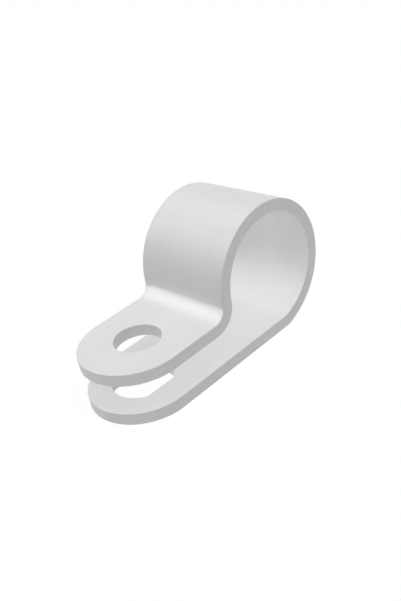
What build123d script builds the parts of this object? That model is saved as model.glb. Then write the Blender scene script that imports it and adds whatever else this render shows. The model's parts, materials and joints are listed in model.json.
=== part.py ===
"""P-shaped cable clip, moulded in one piece: a strap bent into a round loop that ends in two flat tabs.

The origin is on the screw's axis, in the plane of the mounting face. +Z points out of that face, +X from the
screw to the loop, and the cable runs along Y. All sizes are in millimetres.
"""

import os
from math import acos, atan2, cos, degrees, hypot, sin, sqrt

from build123d import *

# Driving dimensions
strap_width = 10.0  # along the cable
wall = 1.15  # thickness of the strap, the same all along it but for its heel
cable_diameter = 11.0  # inside of the loop
screw_to_loop = 12.6  # from the screw's axis to the loop's axis
screw_to_tab_end = 0.5  # from the screw's axis to the centre of the tabs' round ends, away from the loop
tab_gap = 2.85  # between the tabs, before a screw draws them together
floor_past_loop = 1.0  # how far the foot's flat upper face runs on past the loop's axis
floor_blend = 2.0  # radius where that face runs out into the loop's inside
heel_past_loop = 1.5  # how far the foot's flat underside runs on past the loop's axis, to its heel
heel_round = 0.2  # radius of the heel
bend_radius = 1.2  # hollow corner where the upper tab turns up into the loop
screw_hole_diameter = 4.3  # round hole in the upper tab
opening_length = 5.6  # opening in the lower tab, across its round ends
opening_width = 4.65  # the same opening, between its flat sides
opening_corner = 0.3  # radius where a flat side meets a round end
edge_round = 0.05  # rounding of every outer edge

# Loop: its inside meets the foot's upper face where that face ends
loop_inner_radius = cable_diameter / 2
loop_outer_radius = loop_inner_radius + wall
loop_height = wall + sqrt(loop_inner_radius**2 - floor_past_loop**2)
floor_end = (screw_to_loop + floor_past_loop, wall)
outer_crown = (screw_to_loop, loop_height + loop_outer_radius)
inner_crown = (screw_to_loop, loop_height + loop_inner_radius)

# Heel: the foot's underside turns up here, in a straight line that is tangent to the outside of the loop
heel = (screw_to_loop + heel_past_loop, 0)
heel_turn = atan2(heel_past_loop, loop_height) + acos(loop_outer_radius / hypot(heel_past_loop, loop_height))
loop_start = (
    screw_to_loop + loop_outer_radius * sin(heel_turn),
    loop_height - loop_outer_radius * cos(heel_turn),
)

# Tabs: both end on the same round outline, and the upper one lies parallel to the lower
tab_end_x = -screw_to_tab_end
tab_tip_x = tab_end_x - strap_width / 2
upper_under = wall + tab_gap
upper_top = upper_under + wall

# Bend: tangent to the upper tab's top face and to the outside of the loop
bend_height = upper_top + bend_radius
bend_rise = loop_height - bend_height
bend_run = sqrt((loop_outer_radius + bend_radius) ** 2 - bend_rise**2)
bend_centre = (screw_to_loop - bend_run, bend_height)
bend_angle = 90 + degrees(atan2(bend_rise, bend_run))

with BuildPart() as cable_clip:
    # Side view of the whole strap, swept wider than the clip and trimmed to its width below
    with BuildSketch(Plane.XZ):
        with BuildLine():
            outer_bend = CenterArc(bend_centre, bend_radius, -90, bend_angle)
            inner_bend = CenterArc(bend_centre, bend_radius + wall, -90, bend_angle)
            ThreePointArc(loop_start, outer_crown, outer_bend @ 1)
            ThreePointArc(floor_end, inner_crown, inner_bend @ 1)
            Polyline(loop_start, heel, (tab_tip_x, 0), (tab_tip_x, wall), floor_end)
            Polyline(outer_bend @ 0, (tab_tip_x, upper_top), (tab_tip_x, upper_under), inner_bend @ 0)
        make_face()
        fillet(vertices().sort_by_distance(floor_end)[0], floor_blend)
        fillet(vertices().sort_by_distance(heel)[0], heel_round)
    extrude(amount=strap_width, both=True)

    # Plan view: parallel sides and round tab ends
    with BuildSketch():
        with Locations((tab_end_x, 0)):
            Circle(strap_width / 2)
            Rectangle(
                screw_to_tab_end + screw_to_loop + loop_outer_radius + wall,
                strap_width,
                align=(Align.MIN, Align.CENTER),
            )
    extrude(amount=loop_height + loop_outer_radius + wall, mode=Mode.INTERSECT)

    # Round screw hole through the upper tab alone
    with BuildSketch(Plane.XY.offset(upper_under)):
        Circle(screw_hole_diameter / 2)
    extrude(amount=wall, mode=Mode.SUBTRACT)

    # Wider opening through the lower tab, round at both ends and flat along its sides
    with BuildSketch():
        with Locations((tab_end_x, 0)):
            Circle(opening_length / 2)
            Rectangle(opening_length, opening_width, mode=Mode.INTERSECT)
        fillet(vertices(), opening_corner)
    extrude(amount=wall, mode=Mode.SUBTRACT)

    # Every rim is eased. An edge that runs straight across the strap or straight up joins faces and is no rim
    rims = edges() - edges().filter_by(Axis.Y) - edges().filter_by(Axis.Z)
    fillet(rims, edge_round)

cable_clip.part.label = "cable_clip"

os.makedirs("parts", exist_ok=True)
export_step(cable_clip.part, "parts/cable_clip.step")
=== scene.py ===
import json
from math import acos, atan, atan2, cos, pi, radians, sin, sqrt, tan

import bmesh
import bpy
from mathutils import Matrix, Vector


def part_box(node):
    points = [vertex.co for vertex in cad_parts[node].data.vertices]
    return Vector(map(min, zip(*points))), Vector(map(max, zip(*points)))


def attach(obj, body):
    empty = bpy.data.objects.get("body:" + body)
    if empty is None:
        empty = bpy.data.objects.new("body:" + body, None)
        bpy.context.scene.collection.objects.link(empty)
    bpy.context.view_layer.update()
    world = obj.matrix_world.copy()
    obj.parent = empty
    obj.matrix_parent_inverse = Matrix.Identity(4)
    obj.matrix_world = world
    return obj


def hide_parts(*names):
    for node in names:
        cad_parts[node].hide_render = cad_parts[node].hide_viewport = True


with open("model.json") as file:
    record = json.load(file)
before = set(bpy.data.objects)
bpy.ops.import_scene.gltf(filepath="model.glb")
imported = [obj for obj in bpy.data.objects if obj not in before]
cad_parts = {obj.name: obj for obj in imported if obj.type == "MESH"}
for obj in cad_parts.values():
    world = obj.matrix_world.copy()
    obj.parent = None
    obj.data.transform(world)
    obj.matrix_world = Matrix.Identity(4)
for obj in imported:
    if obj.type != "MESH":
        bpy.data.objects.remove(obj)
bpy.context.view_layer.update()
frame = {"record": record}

# Strap
# The whole clip is one ribbon of natural, milky white nylon, injection moulded in one shot: lower tab and
# foot, cable loop, tight bend and upper tab. It is equally thick all along but for its heel, and every rim
# is barely eased, as it leaves the mould. A screw through both tabs closes the loop.
mm = 0.001
mounts = {mount["name"]: mount for mount in frame["record"]["mounts"]}
low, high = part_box("cable_clip")
loop_axis = Vector(mounts["cable_loop"]["pos_m"])
half_width = (high.y - low.y) / 2
outer_radius = high.x - loop_axis.x
wall = outer_radius - mounts["cable_loop"]["dims"]["r_mm"] * mm
rim_round = (wall - mounts["screw_hole"]["dims"]["length_mm"] * mm) / 2
tab_end = low.x + half_width  # centre of the tabs' round ends
tab_root = tab_end + 0.8 * half_width  # where a tab's flat plan runs on as plain strap
upper_top = mounts["screw_hole"]["pos_m"][2] + wall / 2
hole_radius = mounts["screw_hole"]["dims"]["r_mm"] * mm
opening_radius = 2.8 * mm  # round ends of the lower tab's opening
opening_half_width = 2.325 * mm  # from its middle to a flat side
opening_corner = 0.3 * mm
heel_past_loop = 1.5 * mm
heel_round = 0.2 * mm
floor_blend = 3.0 * mm  # inside of the heel
bend_radius = 1.2 * mm

# The foot turns up at its heel and runs straight on to the loop, and meets it at a tangent, as the bend does
heel = loop_axis.x + heel_past_loop
heel_to_axis = sqrt(heel_past_loop**2 + loop_axis.z**2)
heel_turn = atan2(heel_past_loop, loop_axis.z) + acos(outer_radius / heel_to_axis)
heel_run = sqrt(heel_to_axis**2 - outer_radius**2)
bend_axis = Vector((0, 0, upper_top + bend_radius))
bend_axis.x = loop_axis.x - sqrt((outer_radius + bend_radius) ** 2 - (loop_axis.z - bend_axis.z) ** 2)
bend_turn = pi / 2 + atan2(loop_axis.z - bend_axis.z, loop_axis.x - bend_axis.x)
loop_turn = pi + bend_turn - heel_turn

# Steps of the mesh. A tab's rim has as many as its opening, so that they bridge face to face. The heel's
# run is a single step, because the blend above it takes up most of its length
end_steps = 48
side_steps = 9
across_steps = 30
rim_steps = end_steps + 2 * side_steps + across_steps
foot_steps = 8
heel_steps = 1
loop_steps = 120
bend_steps = 28
root_steps = 4
round_steps = 3
hair = rim_round / 10  # less than any real distance on the strap
seam_gap = rim_round / 50  # points nearer than this are one


def edges_once(verts):
    """Lists the edges of some vertices, each once and in the same order on every run."""
    return list(dict.fromkeys(edge for vert in verts for edge in vert.link_edges))


def draw_opening(mesh, centre, radius, half_side):
    """Draws a tab's opening, a circle that may have two flat sides, and returns its edges."""
    ring = bmesh.ops.create_circle(mesh, segments=rim_steps, radius=radius, matrix=Matrix.Translation(centre))
    for vert in ring["verts"]:
        vert.co.y = max(-half_side, min(half_side, vert.co.y))
    return edges_once(ring["verts"])


def draw_tab(mesh, opening, height):
    """Fills a tab's flat plan round its opening, and returns the edges across the strap where it runs on."""
    end_centre = Matrix.Translation((tab_end, 0, height))
    circle = bmesh.ops.create_circle(mesh, segments=2 * end_steps, radius=half_width, matrix=end_centre)
    ring = circle["verts"]
    past_end = [vert for vert in ring if vert.co.x > tab_end + hair]
    bmesh.ops.delete(mesh, geom=past_end, context="VERTS")
    end = [vert for vert in ring if vert.is_valid]
    rim = edges_once(end)
    sides = bmesh.ops.extrude_vert_indiv(mesh, verts=[vert for vert in end if len(vert.link_edges) == 1])
    bmesh.ops.translate(mesh, verts=sides["verts"], vec=(tab_root - tab_end, 0, 0))
    root = mesh.edges.new(sides["verts"])
    split_sides = bmesh.ops.subdivide_edges(mesh, edges=sides["edges"], cuts=side_steps - 1)["geom"]
    split_root = bmesh.ops.subdivide_edges(mesh, edges=[root], cuts=across_steps - 1)["geom"]
    root_edges = [item for item in split_root if isinstance(item, bmesh.types.BMEdge)]
    rim += [item for item in split_sides if isinstance(item, bmesh.types.BMEdge)] + root_edges
    bmesh.ops.bridge_loops(mesh, edges=rim + opening)
    return root_edges


def run_on(mesh, edges, steps, advance=(0, 0), axis=(0, 0, 0), turn=0.0):
    """Carries the strap's edge on in equal steps, straight along X and Z or round an axis along Y."""
    step = (advance[0] / steps, 0, advance[1] / steps)
    run = bmesh.ops.spin(mesh, geom=edges, cent=axis, axis=(0, -1, 0), dvec=step, angle=turn, steps=steps)
    return [item for item in run["geom_last"] if isinstance(item, bmesh.types.BMEdge)]


def round_off(mesh, edges, offset):
    """Rounds edges, from offset on one side of each to as far on its other side."""
    bmesh.ops.bevel(
        mesh,
        geom=edges,
        offset=offset,
        offset_type="OFFSET",
        segments=round_steps,
        profile=0.5,
        affect="EDGES",
        material=-1,
    )


# The ribbon's outside is drawn as a sheet, from the lower tab's underside round to the upper tab's top
strap = bmesh.new()
opening = draw_opening(strap, (tab_end, 0, 0), opening_radius, opening_half_width)
edge_now = draw_tab(strap, opening, 0)
edge_now = run_on(strap, edge_now, foot_steps, advance=(heel - tab_root, 0))
edge_now = run_on(strap, edge_now, heel_steps, advance=(heel_run * cos(heel_turn), heel_run * sin(heel_turn)))
edge_now = run_on(strap, edge_now, loop_steps, axis=loop_axis, turn=loop_turn)
edge_now = run_on(strap, edge_now, bend_steps, axis=bend_axis, turn=-bend_turn)
run_on(strap, edge_now, root_steps, advance=(tab_root - bend_axis.x, 0))
hole = draw_opening(strap, (0, 0, upper_top), hole_radius, hole_radius)
draw_tab(strap, hole, upper_top)
bmesh.ops.remove_doubles(strap, verts=strap.verts, dist=seam_gap)
bmesh.ops.recalc_face_normals(strap, faces=strap.faces)
crown = max(strap.faces, key=lambda face: face.calc_center_median().z)
if crown.normal.z < 0:
    bmesh.ops.reverse_faces(strap, faces=strap.faces)

# Thickness goes inwards. An edge is told by how sharply its faces turn: least at the heel, more at the
# opening's corners, and most at a rim. The heel's two lines, under and above, lose the seams between them
bmesh.ops.solidify(strap, geom=strap.faces[:], thickness=wall)
corner_turn = pi / 2 - atan2(opening_half_width, sqrt(opening_radius**2 - opening_half_width**2))
between_turns = (heel_turn + corner_turn) / 2
rim_turn = pi / 3
heel_lines = [edge for edge in strap.edges if heel_turn / 2 < edge.calc_face_angle(0) < between_turns]
under_heel = [edge for edge in heel_lines if edge.verts[0].co.z < wall / 2]
above_heel = [edge for edge in heel_lines if edge.verts[0].co.z > wall / 2]
corners = [edge for edge in strap.edges if between_turns < edge.calc_face_angle(0) < rim_turn]
heel_ends = {vert for edge in heel_lines for vert in edge.verts}
side_seams = [edge for edge in strap.edges if heel_ends.issuperset(edge.verts) and edge not in heel_lines]
bmesh.ops.dissolve_edges(strap, edges=side_seams)
round_off(strap, under_heel, heel_round * tan(heel_turn / 2))
round_off(strap, above_heel, floor_blend * tan(heel_turn / 2))
round_off(strap, corners, opening_corner * tan(corner_turn / 2))
round_off(strap, [edge for edge in strap.edges if edge.calc_face_angle(0) > rim_turn], rim_round)
for face in strap.faces:
    face.smooth = True
strap_mesh = bpy.data.meshes.new("nylon_strap")
strap.to_mesh(strap_mesh)
strap.free()
nylon_strap = bpy.data.objects.new("nylon_strap", strap_mesh)
bpy.context.scene.collection.objects.link(nylon_strap)
nylon_strap.modifiers.new("flat_faces_stay_flat", "WEIGHTED_NORMAL")


def linear(hex_colour):
    """An sRGB hex colour as the linear values that a shader takes."""
    parts = [int(hex_colour[start : start + 2], 16) / 255 for start in (1, 3, 5)]
    return [part / 12.92 if part <= 0.04045 else ((part + 0.055) / 1.055) ** 2.4 for part in parts] + [1.0]


def add_node(tree, kind, inputs=None, **settings):
    """Adds a node with its settings, and fills its inputs with values or links."""
    node = tree.nodes.new(kind)
    for name, value in settings.items():
        setattr(node, name, value)
    for socket, value in (inputs or {}).items():
        if isinstance(value, bpy.types.NodeSocket):
            tree.links.new(value, node.inputs[socket])
        else:
            node.inputs[socket].default_value = value
    return node


# Natural nylon 66, satin from the mould: an even, neutral off-white with a soft sheen. Close to, it is very
# slightly cloudy, has faint streaks where the melt ran along the strap, and carries the fine grain of a
# spark-eroded mould.
duller_white = "#DBDBDB"
brighter_white = "#E5E5E5"
cloud_size = 4.0 * mm
streak_width = 0.7 * mm
streak_length = 12.0 * mm
streak_share = 0.4
grain_size = 0.28 * mm  # the real grain is about 0.05 mm, drawn coarser so that it shows
grain_depth = 0.004 * mm
grain_low = 0.3  # the noise that draws the grain stays mostly above this
grain_high = 0.7  # and below this
least_roughness = 0.46
most_roughness = 0.54
nylon_ior = 1.53

natural_nylon = bpy.data.materials.new("natural_nylon_as_moulded")
natural_nylon.use_nodes = True
tree = natural_nylon.node_tree
tree.nodes.clear()
on_strap = add_node(tree, "ShaderNodeTexCoord").outputs["Object"]
clouds = add_node(
    tree, "ShaderNodeTexNoise", {"Vector": on_strap, "Scale": 1 / cloud_size, "Detail": 3.0, "Roughness": 0.5}
).outputs["Fac"]
streak_scale = (1 / streak_length, 1 / streak_width, 1 / streak_length)
along_streaks = add_node(
    tree, "ShaderNodeMapping", {"Vector": on_strap, "Scale": streak_scale}
).outputs["Vector"]
streaks = add_node(
    tree, "ShaderNodeTexNoise", {"Vector": along_streaks, "Scale": 1.0, "Detail": 2.0, "Roughness": 0.4}
).outputs["Fac"]
uneven = add_node(
    tree, "ShaderNodeMix", {"Factor": streak_share, "A": clouds, "B": streaks}, data_type="FLOAT"
).outputs["Result"]
colour = add_node(
    tree,
    "ShaderNodeMix",
    {"Factor": uneven, 6: linear(duller_white), 7: linear(brighter_white)},
    data_type="RGBA",
).outputs[2]
grain = add_node(
    tree, "ShaderNodeTexNoise", {"Vector": on_strap, "Scale": 1 / grain_size, "Detail": 2.0, "Roughness": 0.6}
).outputs["Fac"]
sheen = add_node(
    tree,
    "ShaderNodeMapRange",
    {
        "Value": grain,
        "From Min": grain_low,
        "From Max": grain_high,
        "To Min": least_roughness,
        "To Max": most_roughness,
    },
).outputs["Result"]
relief = add_node(
    tree, "ShaderNodeBump", {"Height": grain, "Strength": 1.0, "Distance": grain_depth}
).outputs["Normal"]
nylon_shader = add_node(
    tree,
    "ShaderNodeBsdfPrincipled",
    {"Base Color": colour, "Roughness": sheen, "Normal": relief, "IOR": nylon_ior},
).outputs["BSDF"]
add_node(tree, "ShaderNodeOutputMaterial", {"Surface": nylon_shader})
strap_mesh.materials.append(natural_nylon)

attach(nylon_strap, "root")
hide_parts("cable_clip")

# Floor
# A plain matt white card, just under the clip and wide enough to fill the view. Seen directly or in gloss it
# is as white as the surround, apart from the clip's own soft shadow.
floor_half = 1.5
floor_drop = 0.02 * mm
card_white = "#E0E0E0"
seen_grey = "#B4B4B4"  # with the glow on top of it, the lit card comes out white
seen_glow = 0.6
floor_shape = bmesh.new()
under_clip = Matrix.Translation((0, 0, -floor_drop))
bmesh.ops.create_grid(floor_shape, x_segments=1, y_segments=1, size=floor_half, matrix=under_clip)
floor_mesh = bpy.data.meshes.new("white_floor")
floor_shape.to_mesh(floor_mesh)
floor_shape.free()
white_floor = bpy.data.objects.new("white_floor", floor_mesh)
bpy.context.scene.collection.objects.link(white_floor)


def seen_ray(tree):
    """1 on the rays that show the background to the eye: straight, in gloss or through glass."""
    rays = add_node(tree, "ShaderNodeLightPath").outputs
    straight_or_gloss = {0: rays["Is Camera Ray"], 1: rays["Is Glossy Ray"]}
    either = add_node(tree, "ShaderNodeMath", straight_or_gloss, operation="MAXIMUM").outputs[0]
    through_too = {0: either, 1: rays["Is Transmission Ray"]}
    return add_node(tree, "ShaderNodeMath", through_too, operation="MAXIMUM").outputs[0]


# Matt white card: it has no gloss, and gives back soft light to the clip's sides.
matt_white = bpy.data.materials.new("matt_white_card")
matt_white.use_nodes = True
tree = matt_white.node_tree
tree.nodes.clear()
card = add_node(tree, "ShaderNodeBsdfDiffuse", {"Color": linear(card_white)}).outputs[0]
shaded_card = add_node(tree, "ShaderNodeBsdfDiffuse", {"Color": linear(seen_grey)}).outputs[0]
white_glow = add_node(tree, "ShaderNodeEmission", {"Color": (1, 1, 1, 1), "Strength": seen_glow}).outputs[0]
seen_card = add_node(tree, "ShaderNodeAddShader", {0: shaded_card, 1: white_glow}).outputs[0]
either_card = add_node(tree, "ShaderNodeMixShader", {0: seen_ray(tree), 1: card, 2: seen_card}).outputs[0]
add_node(tree, "ShaderNodeOutputMaterial", {"Surface": either_card})
floor_mesh.materials.append(matt_white)

# Camera
# A normal lens looks down on the clip from its front left, turned a little about its own line of sight. Its
# focal length is in pixels of the frame, and the sensor lies along the frame's longer side, its height.
view_azimuth = radians(-40.784)
view_elevation = radians(29.650)
view_roll = radians(-11.422)
view_place = Vector((-33.681, -48.217, 40.862)) * mm
frame_height = 601
focal_length = 793.4
camera_data = bpy.data.cameras.new("camera")
camera_data.sensor_width = 36
camera_data.lens = focal_length * camera_data.sensor_width / frame_height
camera_data.clip_start = 1 * mm
camera = bpy.data.objects.new("camera", camera_data)
bpy.context.scene.collection.objects.link(camera)
view_turn = Matrix.Rotation(view_azimuth, 4, "Z") @ Matrix.Rotation(pi / 2 - view_elevation, 4, "X")
camera.matrix_world = Matrix.Translation(view_place) @ view_turn @ Matrix.Rotation(view_roll, 4, "Z")
bpy.context.scene.camera = camera
bpy.context.scene.view_settings.view_transform = "Standard"

# Light
# A dim even surround, a broad softbox from the front that throws the shadow, an overhead lamp and one on the
# left that fill without a shadow, and a bright card behind that shows only as sheen on the loop.
surround_level = 0.2
white_level = 1.0
surround = bpy.data.worlds.new("soft_surround")
surround.use_nodes = True
bpy.context.scene.world = surround
tree = surround.node_tree
tree.nodes.clear()
glow = add_node(tree, "ShaderNodeBackground", {"Color": (1, 1, 1, 1), "Strength": surround_level}).outputs[0]
white = add_node(tree, "ShaderNodeBackground", {"Color": (1, 1, 1, 1), "Strength": white_level}).outputs[0]
either_glow = add_node(tree, "ShaderNodeMixShader", {0: seen_ray(tree), 1: glow, 2: white}).outputs[0]
add_node(tree, "ShaderNodeOutputWorld", {"Surface": either_glow})


def add_lamp(name, kind, energy, place, shadow=True, diffuse=True, gloss=True):
    """Adds a lamp that shines down its own Z axis, and returns its settings."""
    data = bpy.data.lights.new(name, kind)
    data.energy = energy
    data.use_shadow = shadow
    data.cycles.use_multiple_importance_sampling = shadow  # or bounced rays would bring the shadow back
    lamp = bpy.data.objects.new(name, data)
    lamp.matrix_world = place
    lamp.visible_diffuse = diffuse
    lamp.visible_glossy = gloss
    bpy.context.scene.collection.objects.link(lamp)
    return data


# Far lamps: a level of 1 would show a white face that looks straight at the lamp as white
far_lamps = {
    "overhead_lamp": {"toward": (0.18, 0.58, 1.0), "level": 0.36, "spread": 30, "shadow": False},
    "front_softbox": {"toward": (0.0, -0.3, 1.0), "level": 0.32, "spread": 100, "shadow": True},
    "left_reflector": {"toward": (-0.8, 0.2, 0.6), "level": 0.11, "spread": 30, "shadow": False},
    "sheen_card": {"toward": (-0.49, 0.6, 0.75), "level": 0.5, "spread": 40, "shadow": False},
}
for name, far in far_lamps.items():
    aim = Vector(far["toward"]).to_track_quat("Z", "Y").to_matrix().to_4x4()
    sun = add_lamp(name, "SUN", pi * far["level"], aim, shadow=far["shadow"], diffuse=name != "sheen_card")
    sun.angle = radians(far["spread"])

# A weak bulb on the loop's axis opens up its inside, as a reflector held in front of the loop would
fill_power = 0.00013
fill_radius = 3.0 * mm
in_loop = Matrix.Translation(loop_axis)
loop_fill = add_lamp("loop_fill", "POINT", fill_power, in_loop, shadow=False, gloss=False)
loop_fill.shadow_soft_size = fill_radius

# Small lamps with narrow flat beams lay a gleam along the bend: the tilt at which each is mirrored to the
# camera, how far round the bend it is aimed, half the height of its beam, and its power
gleams = (
    (25, 25, 1.3 * mm, 0.05),
    (40, 43, 1.7 * mm, 0.10),
    (55, 50, 1.5 * mm, 0.16),
    (70, 53, 1.3 * mm, 0.18),
)
gleam_reach = 80 * mm
gleam_half_length = 4.8 * mm
gleam_softness = 0.5
to_camera = camera.matrix_world.to_3x3() @ Vector((0, 0, 1))
for tilt, round_bend, gleam_half_height, power in gleams:
    mirror = Vector((-sin(radians(tilt)), 0, cos(radians(tilt))))
    beam = (2 * mirror.dot(to_camera) * mirror - to_camera).normalized()
    along = (Vector((0, 1, 0)) - beam * beam.y).normalized()
    turn = Matrix((along, beam.cross(along), beam)).transposed().to_4x4()
    flat = Matrix.Diagonal((1, gleam_half_height / gleam_half_length, 1, 1))
    target = bend_axis + bend_radius * Vector((sin(radians(round_bend)), 0, -cos(radians(round_bend))))
    aim = Matrix.Translation(target + gleam_reach * beam) @ turn @ flat
    spot = add_lamp(f"gleam_{tilt}", "SPOT", power, aim, diffuse=False)
    spot.spot_size = 2 * atan(gleam_half_length / gleam_reach)
    spot.spot_blend = gleam_softness
    spot.shadow_soft_size = 0
